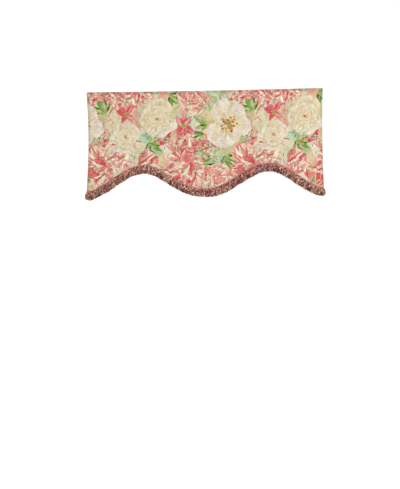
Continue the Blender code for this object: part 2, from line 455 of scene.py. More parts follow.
# The rings of a flower's petals, their sizes as shares of the flower's
RING = "reach length width count"
PEONY_RINGS = table(RING, (1.05, 0.95, 0.72, 7), (0.8, 0.75, 0.62, 6), (0.52, 0.58, 0.48, 5))
ROSE_RINGS = table(RING, (1.0, 0.75, 1.0, 6), (0.8, 0.62, 0.9, 6))
WINDFLOWER_RINGS = table(RING, (1.0, 1.0, 0.98, 5), (0.78, 0.78, 0.8, 4))
LILY_RINGS = table(RING, (1.0, 1.0, 0.56, 6))


def rim_strokes(art, m, count, colours):
    """Curved strokes round a flower's middle, along the rims of its petals."""
    for k in range(count):
        angle = TURN_BY_LEAF * k + m.seed
        x, y = out_from(m, m.size * between(0.15, 0.9, k / count), angle)
        length = m.size * between(0.35, 0.75, k / count)
        colour = colours[k % len(colours)]
        stroke(art, x, y, angle + 1.15, length, RIM_STROKE, colour, m.seed + 40 + k, bend=-0.75)


def peony(art, m):
    bloom(art, m, (STRIPED_CORAL, SOFT_CORAL, BLUSHING, STRIPED_CORAL, SOFT_CORAL), PEONY_RINGS, FULL)
    rim_strokes(art, m, 30, (IVORY, RED, IVORY, RUST, CREAM, CORAL))


def blush_rose(art, m):
    bloom(art, m, (BLUSHING, SOFT_CORAL, BLUSHING), ROSE_RINGS, FULL)
    rim_strokes(art, m, 12, (SALMON, IVORY, CORAL))
    swirl(art, m, 0.62, CORAL, BLUSH, IVORY)


def cream_rose(art, m):
    bloom(art, m, (CREAMY, WHITE, CREAMY), ROSE_RINGS, SOFT)
    rim_strokes(art, m, 12, (STRAW, IVORY, SAGE))
    swirl(art, m, 0.6, STRAW, CREAM, IVORY)
    for k in range(7):
        length = m.size * (0.13 + 0.05 * sin(4 * k))
        colour = (ORANGE, OCHRE, RUST)[k % 3]
        stroke(art, m.x, m.y, TURN_BY_LEAF * k + m.seed, length, THIN_STROKE, colour, m.seed + k)


def windflower(art, m):
    """A flat white flower, with golden stamens round a green heart."""
    bloom(art, m, (WHITE, CREAMY), WINDFLOWER_RINGS, BROAD)
    dot(art, m.x, m.y, m.size * 0.3, STRAW, m.seed + 1)
    for k in range(STAMENS):
        angle = tau * k / STAMENS + 0.2 * sin(7 * k)
        root, tip = m.size * 0.08, m.size * (0.26 + 0.1 * sin(5 * k + 1))
        colour = (ORANGE, RUST, ORANGE, OCHRE)[k % 4]
        stroke(art, *out_from(m, root, angle), angle, tip - root, THIN_STROKE, colour, m.seed + k)
        dot(art, *out_from(m, tip, angle), m.size * 0.05, colour, m.seed + k)
    dot(art, m.x, m.y, m.size * 0.11, LEAF, m.seed)


def lily(art, m):
    bloom(art, m, (ROSY,), LILY_RINGS, POINTED)
    for k in range(6):
        turn = m.turn + tau * (k + 0.3) / 6
        petal(art, m.x, m.y, turn, m.size * 0.36, m.size * 0.12, THROAT, POINTED, m.seed + k)


def cluster(art, m):
    """Small five-petalled blossoms gathered together."""
    for k in range(m.count):
        angle = TURN_BY_LEAF * k + m.seed
        away = m.size * 0.8 * sqrt((k + 0.3) / m.count)
        x, y = m.x + away * cos(angle) * 1.25, m.y + away * sin(angle) * 0.85
        stroke(art, x, y, angle + 2.5, away + 0.01, STALK, (DEEP, BROWN)[k % 2], m.seed + k, bend=0.3)
        radius = m.size * (0.34 + 0.07 * sin(3 * k + m.seed))
        paint = (SOFT_CORAL, BLUSHING, STRIPED_CORAL, ROSY)[(k + m.seed) % 4]
        for j in range(5):
            turn = tau * j / 5 + k
            petal(art, x, y, turn, radius, radius * 0.85, paint, SMALL, m.seed + 5 * k + j)
        dot(art, x, y, radius * 0.2, (OCHRE, DEEP, BROWN)[k % 3], k)


MOTIF = "kind x y size turn seed count spread"  # x, y and size are in millimetres
MOTIFS = table(
    MOTIF,
    (pale_leaves, -60, 110, 85, 0.6, 2, 5, 4.4),
    (pale_leaves, 210, 215, 80, 2.2, 4, 5, 4.0),
    (pale_leaves, -240, 235, 80, 1.2, 5, 5, 5.0),
    (pale_leaves, 20, 320, 85, 0.2, 7, 5, 5.0),
    (pale_leaves, -180, 400, 80, 2.0, 9, 5, 5.0),
    (pale_leaves, 230, 420, 80, 1.0, 12, 5, 5.0),
    (pale_leaves, 60, 30, 80, 1.6, 13, 5, 5.0),
    (spray, -5, 205, 85, 2.3, 3, 5, 2.4),
    (spray, -265, 235, 80, 0.6, 8, 5, 2.2),
    (spray, 90, 300, 75, 0.9, 11, 4, 2.0),
    (spray, -195, 430, 75, -1.7, 14, 4, 2.4),
    (spray, 330, 400, 70, 2.6, 17, 4, 2.0),
    (spray, -165, 20, 70, 0.4, 19, 4, 2.0),
    (blush_rose, -50, 35, 76, 0.1, 16),
    (peony, -315, 0, 80, 0.4, 12),
    (peony, 250, -10, 100, 1.4, 18),
    (peony, -290, 385, 105, 0.2, 6),
    (peony, -95, 325, 125, 0.7, 21),
    (peony, 225, 335, 120, 1.4, 7),
    (blush_rose, 60, 415, 84, 0.7, 4),
    (spray, 225, 95, 75, -2.2, 5, 5, 2.2),
    (cluster, 0, 245, 50, 0, 3, 7),
    (cluster, -195, 225, 42, 0, 6, 6),
    (cluster, 215, 210, 42, 0, 5, 6),
)
# These lie over the dabs
CALM_MOTIFS = table(
    MOTIF,
    (cream_rose, -225, 125, 88, 0.3, 1),
    (cream_rose, 315, 205, 74, 1.1, 2),
    (lily, -100, 160, 58, 0.5, 9),
    (lily, 320, 105, 50, 1.1, 24),
    (windflower, 110, 155, 108, 0.25, 10),
    (cluster, 150, 30, 45, 0, 8, 6),
    (cluster, -100, 420, 45, 0, 10, 6),
    (spray, 10, 160, 55, 2.9, 20, 3, 1.4),
    (spray, -10, 330, 60, 0.2, 22, 3, 1.6),
)
MOTIF_REACH = 0.17
DAB_COUNT = 620
DAB_COLOURS = (RED, BROWN, DEEP, IVORY, RUST, CORAL, SALMON, DEEP, IVORY, ROSE, BROWN, RED, OCHRE)


def ground(art):
    """Loose washes of colour under the flowers."""
    for colour, strength, clear, full, scale, seed in (
            (SALMON, 0.7, -0.15, 0.35, 0.05, 31), (MINT, 0.7, 0.05, 0.35, 0.04, 41),
            (STRAW, 0.6, 0.1, 0.4, 0.06, 51), (SAGE, 0.6, 0.1, 0.4, 0.04, 61)):
        wash = printed_noise(art.u, art.drop, scale, seed)
        art.colour = mix(art.colour, colour, strength * step(clear, full, wash))


def repeats(x, u):
    """Where the copies of a motif at x are that reach the cloth."""
    first = ceil((u.min() - MOTIF_REACH - x) / REPEAT)
    last = floor((u.max() + MOTIF_REACH - x) / REPEAT)
    return [x + k * REPEAT for k in range(first, last + 1)]


def draw(art, motifs):
    for m in motifs:
        for x in repeats(m.x / 1000, art.u):
            m.kind(art, m._replace(x=x, y=m.y / 1000, size=m.size / 1000))


def dabs(art):
    """Loose small marks all over the print."""
    chance = np.random.default_rng(7)
    for k in range(DAB_COUNT):
        x, y, turn, length, width, bend = chance.uniform(
            (-REPEAT / 2, 0, 0, 0.011, 0.002, -0.6), (REPEAT / 2, 0.5, tau, 0.036, 0.0038, 0.6))
        for place in repeats(x, art.u):
            stroke(art, place, y, turn, length, width, DAB_COLOURS[k % len(DAB_COLOURS)], k, bend)


RUNS = table("reach scale", (0.0032, 0.022), (0.0012, 0.006))  # of the watercolour
GLAZE_SCALE = 0.045
GRAIN_SCALES = (0.0052, 0.009, 0.014)
CRISPNESS = 0.32
CRISP_PASSES = 20
GREEN_GLAZE = np.array((0.04, 0.0, 0.042))  # what a wash of green takes away


def run(u, drop, seed):
    """How far the watercolour has run in one direction."""
    return sum(row.reach * printed_noise(u, drop, row.scale, seed + k) for k, row in enumerate(RUNS))


def paint_print(u, drop):
    """The print's colours at places on the flat cloth."""
    art = Canvas(u + run(u, drop, 71), drop + run(u, drop, 81))
    ground(art)
    draw(art, MOTIFS)
    dabs(art)
    green = step(0.0, 0.5, printed_noise(u, drop, GLAZE_SCALE, 95))
    art.colour = art.colour * (1 - green[:, None] * GREEN_GLAZE)
    draw(art, CALM_MOTIFS)
    fine, wide, tall = GRAIN_SCALES
    dye_depth = 1 + 0.04 * noise(art.u / fine, art.drop / fine, 91)
    dye_depth += 0.025 * noise(art.u / wide, art.drop / tall, 92)
    return np.clip(art.colour * dye_depth[:, None], 0, 1)


def crisp(grid):
    """The front's print with its edges picked out, as pigment gathers at them."""
    soft, n = grid, PRINT_STEP
    for _ in range(CRISP_PASSES):
        soft = np.pad(soft, ((n, n), (n, n), (0, 0)), mode="edge")
        soft = (soft[:-2 * n] + 2 * soft[n:-n] + soft[2 * n:]) / 4
        soft = (soft[:, :-2 * n] + 2 * soft[:, n:-n] + soft[:, 2 * n:]) / 4
    return np.clip(grid + CRISPNESS * (grid - soft), 0, 1)


def light_of(colour):
    """Screen colours as the linear light of the shaders."""
    return np.where(colour <= 0.04045, colour / 12.92, ((colour + 0.055) / 1.055) ** 2.4)


# ---------- materials


def fill(tree, node, inputs):
    """Gives a shader node its inputs: one that is a socket is linked, any other is set."""
    for name, value in inputs.items():
        if isinstance(value, bpy.types.NodeSocket):
            tree.links.new(value, node.inputs[name])
        else:
            node.inputs[name].default_value = value


def add(tree, kind, inputs=None, **settings):
    node = tree.nodes.new("ShaderNode" + kind)
    for name, value in settings.items():
        setattr(node, name, value)
    fill(tree, node, inputs or {})
    return node


def maths(tree, operation, first, second=0.0, third=0.0):
    return add(tree, "Math", {0: first, 1: second, 2: third}, operation=operation).outputs[0]


def added(tree, total, *terms):
    """The total with each value times its weight added."""
    for value, weight in terms:
        total = maths(tree, "MULTIPLY_ADD", value, weight, total)
    return total


def vectors(tree, operation, *inputs):
    return add(tree, "VectorMath", dict(enumerate(inputs)), operation=operation).outputs[0]


def kept(tree, name):
    """What store() kept on the piece."""
    return add(tree, "Attribute", attribute_name=name).outputs["Vector"]


def parts(tree, vector):
    return add(tree, "SeparateXYZ", {"Vector": vector}).outputs


def new_material(name):
    material = bpy.data.materials.new(name)
    material.use_nodes = True
    return material, material.node_tree, material.node_tree.nodes["Principled BSDF"]


PRINT_GAIN = 0.72  # the albedo of a printed colour, so that the lit cloth shows that colour
THREAD = 0.0007  # from one thread to the next
STITCH_PITCH = 0.0032
STITCH_WIDTH = 0.0005
STITCH_SHADE = 0.16
BACK_FADE = 0.75  # how much of the print the cloth's back loses
SLUB_SCALE = (60, 900, 1)
DYE_GRAIN_SCALE = 420.0
DYE_GRAIN_SHADE = 0.16
WEAVE_SHADE = 0.025
MEAN_SHADE = 0.92
COTTON_RELIEF = 0.0002


def hem_stitches(tree, flat, cut):
    """1 on the stitches that hold the hems, and 0 elsewhere."""
    aside = maths(tree, "ABSOLUTE", maths(tree, "SUBTRACT", cut["X"], HEM_WIDTH - 2 * STITCH_WIDTH))
    line = maths(tree, "LESS_THAN", aside, STITCH_WIDTH)
    along = maths(tree, "ADD", flat["X"], flat["Y"])
    wave = maths(tree, "SINE", maths(tree, "MULTIPLY", along, tau / STITCH_PITCH))
    return maths(tree, "MULTIPLY", line, maths(tree, "GREATER_THAN", wave, -0.5))


def faded_at_back(tree, ink, cut):
    """The print, at full strength in front and on the turned hems, and pale on the open back."""
    past_hem = maths(tree, "GREATER_THAN", cut["X"], HEM_WIDTH)
    fade = maths(tree, "MULTIPLY", maths(tree, "MULTIPLY", cut["Y"], past_hem), BACK_FADE)
    left = vectors(tree, "MULTIPLY", ink, maths(tree, "SUBTRACT", 1.0, fade))
    pale = vectors(tree, "MULTIPLY", light_of(CREAM) * PRINT_GAIN, fade)
    return vectors(tree, "ADD", left, pale)


def hat(tree, place, k):
    """1 at the k-th place across a face, and 0 at the places beside it."""
    away = maths(tree, "ABSOLUTE", maths(tree, "MULTIPLY_ADD", place, PRINT_STEP, -k))
    return maths(tree, "MAXIMUM", maths(tree, "SUBTRACT", 1.0, away), 0.0)


def whole_print(tree):
    """The print, from each face's own places in front and from the points elsewhere."""
    cell = parts(tree, kept(tree, "cell"))
    across, down = ([hat(tree, cell[axis], k) for k in range(PRINT_STEP + 1)] for axis in "XY")
    ink = vectors(tree, "MULTIPLY", kept(tree, "print"), maths(tree, "SUBTRACT", 1.0, cell["Z"]))
    for (a, share), (b, other) in product(enumerate(across), enumerate(down)):
        weight = maths(tree, "MULTIPLY", share, other)
        ink = vectors(tree, "MULTIPLY_ADD", kept(tree, f"ink_{a}_{b}"), weight, ink)
    return ink


def printed_cotton():
    """Plain-weave cotton with the print, its threads, slubs and dye grain."""
    material, tree, shader = new_material("printed_cotton")
    flat = kept(tree, "flat")
    split = parts(tree, flat)
    warp, weft = (maths(tree, "SINE", maths(tree, "MULTIPLY", split[axis], pi / THREAD)) for axis in "XY")
    weave = maths(tree, "MULTIPLY", warp, weft)
    slub_place = add(tree, "Mapping", {"Vector": flat, "Scale": SLUB_SCALE}).outputs["Vector"]
    slub = add(tree, "TexNoise", {"Vector": slub_place, "Scale": 1.0}).outputs["Fac"]
    grain = add(tree, "TexNoise", {"Vector": flat, "Scale": DYE_GRAIN_SCALE, "Detail": 3.0}).outputs["Fac"]
    cut = parts(tree, kept(tree, "cut"))
    stitch = hem_stitches(tree, split, cut)
    height = added(tree, 0.0, (weave, 0.5), (slub, 0.8), (stitch, -2.0))
    bump = add(tree, "Bump", {"Height": height, "Strength": 0.35, "Distance": COTTON_RELIEF})
    shade = added(tree, MEAN_SHADE, (stitch, -STITCH_SHADE), (weave, WEAVE_SHADE), (grain, DYE_GRAIN_SHADE))
    tint = vectors(tree, "MULTIPLY", faded_at_back(tree, whole_print(tree), cut), shade)
    fill(tree, shader, {"Base Color": tint, "Normal": bump.outputs["Normal"], "Roughness": 0.86,
                        "Sheen Weight": 0.12, "Sheen Roughness": 0.5, "Specular IOR Level": 0.25})
    return material


TUFT_PITCH = 0.0088  # from one tuft of the fringe to the next
# painted shade: the yarn's colour is darkened between the tufts, where the yarns part
TUFT_SHADE = 1.4  # how much darker it is between tufts
TUFT_MEAN = 0.45  # the mean distance from a tuft's middle, in pitches
FUZZ_SCALE = 900.0
FUZZ_SHADE = 0.5
FUZZ_RELIEF = 0.0004


def cut_yarn():
    """Cut, spun yarn of many colours, twisted fine, with painted shade in the gaps between its tufts."""
    material, tree, shader = new_material("cut_yarn")
    place = add(tree, "TexCoord").outputs["Object"]
    fuzz = add(tree, "TexNoise", {"Vector": place, "Scale": FUZZ_SCALE}).outputs["Fac"]
    along = {"Vector": kept(tree, "place"), "Scale": 1 / TUFT_PITCH}
    tuft = add(tree, "TexVoronoi", along, voronoi_dimensions="2D")
    mean = 1 - FUZZ_SHADE / 2 + TUFT_MEAN * TUFT_SHADE
    # painted shade between the tufts, with fine fuzz
    shade = added(tree, mean, (fuzz, FUZZ_SHADE), (tuft.outputs["Distance"], -TUFT_SHADE))
    tint = vectors(tree, "MULTIPLY", kept(tree, "yarn"), shade)
    bump = add(tree, "Bump", {"Height": fuzz, "Strength": 0.5, "Distance": FUZZ_RELIEF})
    fill(tree, shader, {"Base Color": tint, "Normal": bump.outputs["Normal"], "Roughness": 0.92,
                        "Sheen Weight": 0.25, "Sheen Roughness": 0.6, "Specular IOR Level": 0.2})
    return material


def plain_floor():
    material, tree, shader = new_material("pale_floor")
    cloud = add(tree, "TexNoise", {"Scale": 0.8, "Detail": 1.0}).outputs["Fac"]
    pale = add(tree, "MapRange", {"Value": cloud, "To Min": 0.92, "To Max": 0.94}).outputs["Result"]
    fill(tree, shader, {"Base Color": pale, "Roughness": 0.9, "Specular IOR Level": 0.1})
    return material


# ---------- pieces


def put(name, data):
    """A new object in the scene."""
    thing = bpy.data.objects.new(name, data)
    bpy.context.scene.collection.objects.link(thing)
    return thing


def new_mesh(name, points, faces, material):
    mesh = bpy.data.meshes.new(name)
    mesh.from_pydata(points, [], faces)
    mesh.materials.append(material)
    return mesh


def new_piece(name, points, faces, material):
    mesh = new_mesh(name, points.tolist(), faces, material)
    mesh.shade_smooth()
    piece = put(name, mesh)
    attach(piece, "root")
    return piece


def store(piece, name, values, domain="POINT", kind="FLOAT_VECTOR", field="vector"):
    """Keeps a value for each point, corner or face, for the material to read."""
    attribute = piece.data.attributes.new(name, kind, domain)
    attribute.data.foreach_set(field, values.astype(np.float32).ravel())


def store_colour(piece, name, colour, domain="POINT"):
    colour = np.concatenate((colour, np.ones((len(colour), 1))), axis=1)
    store(piece, name, colour, domain, "FLOAT_COLOR", "color")


BAKE_MAP = "OFBake"  # the map that an export bakes a piece through
FRONT_PART = (0.365, 0.998)  # how far up the baked picture the cloth's front lies
BACK_PART = (0.002, 0.355)


def map_for_bake(piece, places):
    """Lays the corners of the piece's faces out on a picture, from 0 to 1."""
    layer = piece.data.uv_layers.new(name=BAKE_MAP, do_init=False)
    layer.data.foreach_set("uv", places.astype(np.float32).ravel())


def grid_quads(columns, rows, first):
    """The quads of a grid of points that are counted down each column in turn."""
    i, j = np.meshgrid(np.arange(columns - 1), np.arange(rows - 1), indexing="ij")
    a = (first + i * rows + j).ravel()
    return np.stack((a, a + 1, a + rows + 1, a + rows), axis=1)


def grid_border(columns, rows, first):
    """The points round such a grid, down its first column first."""
    number = first + np.arange(columns * rows).reshape(columns, rows)
    return np.concatenate((number[0, :-1], number[:-1, -1], number[-1, :0:-1], number[:0:-1, 0]))


def to_edge(u, drop, length):
    """How far a place is from the cloth's nearest edge."""
    return np.minimum(np.minimum(drop, length - drop), HALF_FLAT - np.abs(u))


def half_thickness(u, drop, length):
    """Half the sheet's thickness, which is more where a hem is turned."""
    return between(HALF_HEM, HALF_THIN, step(HEM_WIDTH - HEM_EASE, HEM_WIDTH, to_edge(u, drop, length)))


def shaded_ink(colour, u, drop):
    """Printed colours for the material, with painted shade along the top hem and the corner folds."""
    away = np.minimum(drop, np.abs(np.abs(u) - STRAIGHT - FOLD_RADIUS))
    shade = HEM_SHADE * np.exp(-((away / HEM_WIDTH) ** 4))
    return light_of(colour * (1 - shade)[:, None]) * PRINT_GAIN


def finer(line):
    return np.linspace(line[0], line[-1], (len(line) - 1) * PRINT_STEP + 1)


def front_print(u_line, share_line):
    """The print in front, column by column, PRINT_STEP times as fine as the points."""
    u, share = np.meshgrid(finer(u_line), finer(share_line), indexing="ij")
    size = (*u.shape, 3)
    u, drop = u.ravel(), (share * drop_at(plan_at(u).x)).ravel()
    colour = crisp(paint_print(u, drop).reshape(size)).reshape(-1, 3)
    return shaded_ink(colour, u, drop).reshape(size)


def store_front(piece, ink):
    """Keeps the ink at each front face's own places, and where in its face each corner lies."""
    quads = (COLUMNS - 1) * (ROWS - 1)
    for a, b in product(range(PRINT_STEP + 1), repeat=2):
        own = np.zeros((len(piece.data.polygons), 3))
        own[:quads] = ink[a::PRINT_STEP, b::PRINT_STEP][:COLUMNS - 1, :ROWS - 1].reshape(-1, 3)
        store(piece, f"ink_{a}_{b}", own, "FACE")
    cell = np.zeros((len(piece.data.loops), 3))
    cell[:4 * quads] = np.tile(((0, 0, 1), (0, 1, 1), (1, 1, 1), (1, 0, 1)), (quads, 1))
    store(piece, "cell", cell, "CORNER")


def cloth_faces(border, first_back, back_size):
    """The faces of the front skin, then the back skin, then the rim that joins them."""
    faces = grid_quads(COLUMNS, ROWS, 0).tolist()
    faces += grid_quads(*back_size, first_back)[:, ::-1].tolist()
    rim = first_back + back_size[0] * back_size[1] + np.arange(len(border))
    faces += np.stack((border, rim, np.roll(rim, -1), np.roll(border, -1)), axis=1)[:, ::-1].tolist()
    back_border = grid_border(*back_size, first_back)
    for k, (here, there) in enumerate(zip(back_border, np.roll(back_border, -1))):
        along = [int(rim[(k * BACK_STEP + j) % len(rim)]) for j in range(BACK_STEP + 1)]
        faces.append([*along, int(there), int(here)])
    return faces


def store_looks(piece, front, u, drop, facing):
    """Keeps the print, the place on the flat cloth and the way to its edge."""
    store_front(piece, front)
    behind = facing < 1
    in_front = front[::PRINT_STEP, ::PRINT_STEP].reshape(-1, 3)
    other = shaded_ink(paint_print(u[behind], drop[behind]), u[behind], drop[behind])
    store_colour(piece, "print", np.concatenate((in_front, other)))
    store(piece, "flat", np.stack((u, drop, 0 * drop), axis=1))
    cut = to_edge(u, drop, drop_at(plan_at(u).x))
    store(piece, "cut", np.stack((cut, facing < 0, 0 * drop), axis=1))


def cloth_map(piece, u, share, facing):
    """The cloth's corners on a picture: its front and half of the rim, its back below."""
    point = np.empty(len(piece.data.loops), np.int32)
    first = np.empty(len(piece.data.polygons), np.int32)
    piece.data.loops.foreach_get("vertex_index", point)
    piece.data.polygons.foreach_get("loop_start", first)
    behind = np.minimum.reduceat(facing[point], first) < 0
    behind = np.repeat(behind, np.diff(first, append=len(point)))
    up = np.where(behind, between(*BACK_PART, 1 - share[point]), between(*FRONT_PART, 1 - share[point]))
    return np.stack((0.5 + 0.498 * u[point] / HALF_FLAT, up), axis=1)


def build_cloth(material):
    """The cloth: a fine front skin, a coarser back one, and a rounded rim between them."""
    inset = HALF_HEM / LOBE_DROP
    u_line = np.linspace(-HALF_FLAT + HALF_HEM, HALF_FLAT - HALF_HEM, COLUMNS)
    share_line = np.linspace(inset, 1 - inset, ROWS)
    u, share = (a.ravel() for a in np.meshgrid(u_line, share_line, indexing="ij"))
    coarse = np.arange(COLUMNS * ROWS).reshape(COLUMNS, ROWS)[::BACK_STEP, ::BACK_STEP]
    back, border = coarse.ravel(), grid_border(COLUMNS, ROWS, 0)
    rim_u = u[border] * HALF_FLAT / (HALF_FLAT - HALF_HEM)
    rim_share = 0.5 + (share[border] - 0.5) / (1 - 2 * inset)

    all_u = np.concatenate((u, u[back], rim_u))
    all_share = np.clip(np.concatenate((share, share[back], rim_share)), 0, 1)
    facing = np.repeat((1.0, -1.0, 0.0), (len(u), len(back), len(border)))
    length = drop_at(plan_at(all_u).x)
    drop = all_share * length
    points = cloth_point(all_u, all_share, facing * half_thickness(all_u, drop, length))
    piece = new_piece("cloth", points, cloth_faces(border, len(u), coarse.shape), material)
    map_for_bake(piece, cloth_map(piece, all_u, all_share, facing))
    store_looks(piece, front_print(u_line, share_line), all_u, drop, facing)
    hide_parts("valance_cloth")
    return piece


# ---------- fringe

SEAM_GAP = 0.0003
HEADING_HEIGHT = 0.005
HEADING_HALF = 0.0012
WALL_CLEARANCE = 0.002
YARN_RADIUS = 0.00074
YARN_LENGTH = 0.0345
WRAP_SHORTER = 0.25  # on the corner folds and the returns
OUTER_SHORTER = 0.22
LENGTH_WANDER = 0.06  # slow changes of length along the fringe
PUFF_PITCH = 0.03
LENGTH_CHANCE = 0.045
LENGTH_LIMIT = 0.12
SPARSE_AT = -0.145  # the fringe is thinner here
SPARSE_REACH = 0.065
SPARSE_SHORTER = 0.14
FAN = 74  # how far the outermost yarns fan out, in degrees
FAN_CHANCE = 8
FLARE = 4  # and how much further they flare
FLARE_CHANCE = 12
FLARE_BY_TUFT = 26
FLARE_PITCH = 0.01
FLARE_LIMITS = (-20, 42)
LEAN_CHANCE = 0.09  # along the edge
CURL = 0.0008
HANG = 0.35  # 1 hangs straight down, 0 stands square to the edge
STIFF = 4.0  # how soon a yarn turns to the way it hangs
RINGS = 7
SIDES = 3
TWIST = 1.5  # over a yarn's length, in radians
SWELL = 0.25  # how much thicker its cut end is

# The yarns' colours, and how many flecks of a hundred have each
YARNS = table(
    "colour share",
    (dye(142, 42, 46), 22),
    (dye(156, 74, 48), 14),
    (dye(188, 102, 88), 14),
    (dye(134, 108, 60), 8),
    (dye(214, 166, 128), 15),
    (dye(244, 214, 184), 15),
    (dye(74, 32, 28), 12),
)
YARN_GAIN = 0.77
HEADING_TONE = dye(176, 96, 84)
FLECK = 0.0028  # the width of a fleck
FLECK_SEED = 22
RUDDY_AT = 0.88  # the fringe is reddest so far from its left end
RUDDY_REACH = 0.24
RUDDY = np.array((0.02, 0.14, 0.06))  # what the yarns lose there of their red, green and blue
# painted light along each yarn: lighter at its root, where shade falls under the cloth, than at its end
ROOT_PAINTED_LIGHT = 1.14  # the roots are a little lighter
END_PAINTED_LIGHT = 0.99
STRAY = 0.05  # the share of places with an odd colour

# The rows of yarns, each between two places across the heading, -1 at its back and 1 in front
LAYERS = table(
    "name back front count seed",
    ("fringe_front", 0.25, 1.0, 5100, 21),
    ("fringe_middle", -0.35, 0.25, 3600, 22),
    ("fringe_back", -1.0, -0.35, 3800, 23),
)
EDGE_STEPS = 1400

Edge = namedtuple("Edge", "way point facing down along")  # way is how far along the edge it is


def unit(v):
    return v / np.linalg.norm(v, axis=-1, keepdims=True)


def lower_edge():
    """The scallop from wall to wall: down is square to it, in the cloth's own plane."""
    end = HALF_FLAT - WALL_CLEARANCE
    u = np.linspace(-end, end, EDGE_STEPS)
    plan = plan_at(u)
    point = cloth_point(u, np.ones_like(u))
    facing = np.stack((plan.face_x, plan.face_y, np.zeros_like(u)), axis=1)
    along = unit(np.gradient(point, axis=0))
    down = unit(np.cross(along, facing))
    down = np.where(down[:, 2:] < 0, down, -down)
    way = np.concatenate(([0.0], np.cumsum(np.linalg.norm(np.diff(point, axis=0), axis=1))))
    return Edge(way, point, facing, down, along)


def on_edge(edge, way):
    """The edge's values at these distances along it."""
    def read(values):
        return np.stack([np.interp(way, edge.way, values[:, k]) for k in range(3)], axis=1)
    turns = (unit(read(values)) for values in edge[2:])
    return Edge(way, read(edge.point), *turns)


def tube_faces(count, rings, sides):
    """The faces of closed tubes, whose points are counted tube by tube and ring by ring."""
    ring, side = np.meshgrid(np.arange(rings - 1), np.arange(sides), indexing="ij")
    a = (ring * sides + side).ravel()
    b = (ring * sides + (side + 1) % sides).ravel()
    walls = np.stack((a, b, b + sides, a + sides), axis=1)
    starts = np.arange(count)[:, None, None] * rings * sides
    ends = np.stack((np.arange(sides)[::-1], (rings - 1) * sides + np.arange(sides)))
    return (walls + starts).reshape(-1, 4).tolist() + (ends + starts).reshape(-1, sides).tolist()


def ring_shares(way):
    """Where each yarn's rings are, from 0 to 1, with a spacing of its own in every fleck."""
    cell = fleck_of(way)
    inner = np.sin(np.linspace(0, pi, RINGS)) ** 0.3
    nudge = 0.45 * lattice(cell, 0 * cell, FLECK_SEED + 1)[:, None] * inner
    return ((np.arange(RINGS) + nudge) / (RINGS - 1))[:, :, None]


def yarn_fan(across, way, chance):
    """How far forward each yarn is sewn on, in radians from down."""
    fan = across * FAN + chance.normal(0, FAN_CHANCE, len(across))
    flare = chance.normal(FLARE, FLARE_CHANCE, len(across))
    flare += FLARE_BY_TUFT * clouds(way / FLARE_PITCH, 0 * across, 33, 2)
    return np.radians(fan + np.clip(flare, *FLARE_LIMITS) * np.abs(across) ** 3 * np.sign(across))


def yarn_length(across, place, chance):
    wrapped = np.abs(place.facing[:, 0])
    puff = clouds(place.way / PUFF_PITCH, 0 * across, 31, 2)
    uneven = np.clip(chance.normal(0, LENGTH_CHANCE, len(across)), -LENGTH_LIMIT, LENGTH_LIMIT)
    sparse = np.exp(-(((place.point[:, 0] - SPARSE_AT) / SPARSE_REACH) ** 2))
    shorter = (1 - OUTER_SHORTER * across**2) * (1 - WRAP_SHORTER * wrapped) * (1 - SPARSE_SHORTER * sparse)
    return YARN_LENGTH * shorter * (1 + LENGTH_WANDER * puff) * (1 + uneven)


def yarn_paths(layer, place, total, chance):
    """The middle lines of a row of yarns, which fan out of the heading and then hang."""
    across = chance.uniform(layer.back, layer.front, layer.count)
    fan = yarn_fan(across, place.way, chance)[:, None]
    length = yarn_length(across, place, chance)
    lean = chance.normal(0, LEAN_CHANCE, layer.count)
    lean = np.clip(lean, -place.way / length, (total - place.way) / length)[:, None]

    start = unit(place.down * np.cos(fan) + place.facing * np.sin(fan) + place.along * lean)
    hang = between(place.down, np.array((0, 0, -1)), HANG) + place.along * lean * 0.8
    hang = unit(hang + place.facing * (0.1 * across)[:, None])
    root_depth = SEAM_GAP + between(HEADING_HEIGHT * 0.9, 0.0022, np.abs(across))
    root = place.point + place.down * root_depth[:, None] + place.facing * (HEADING_HALF * across)[:, None]

    t = ring_shares(place.way)
    turned_share = (1 - np.exp(-STIFF * t)) / STIFF
    bent = start[:, None] * turned_share + hang[:, None] * (t - turned_share)
    path = root[:, None] + length[:, None, None] * bent
    phase = chance.uniform(0, tau, (2, layer.count, 1, 1))
    curl = CURL * t
    path = path + place.along[:, None] * curl * np.sin(7 * t + phase[0])
    return path + place.facing[:, None] * curl * np.sin(6 * t + phase[1])


def yarn_map(count):
    """The corners of tube_faces on a picture, in a block for each yarn."""
    wide, high = SIDES + 1, RINGS + 1
    across = ceil(sqrt(count * high / wide))
    ring, side = np.meshgrid(np.arange(RINGS - 1), np.arange(SIDES), indexing="ij")
    walls = np.stack((side, ring), axis=-1).reshape(-1, 1, 2) + np.array(((0, 0), (1, 0), (1, 1), (0, 1)))
    ends = np.array((((0, 0), (1.4, 0), (0, 1)), ((3, 0), (3, 1), (1.6, 1)))) + (0, RINGS - 0.8)
    tube = np.arange(count)
    start = 0.5 + np.stack((tube % across * wide, tube // across * high), axis=-1)[:, None, None]
    places = np.concatenate(((start + walls).reshape(-1, 2), (start + ends).reshape(-1, 2)))
    return places / (across * wide, ceil(count / across) * high)


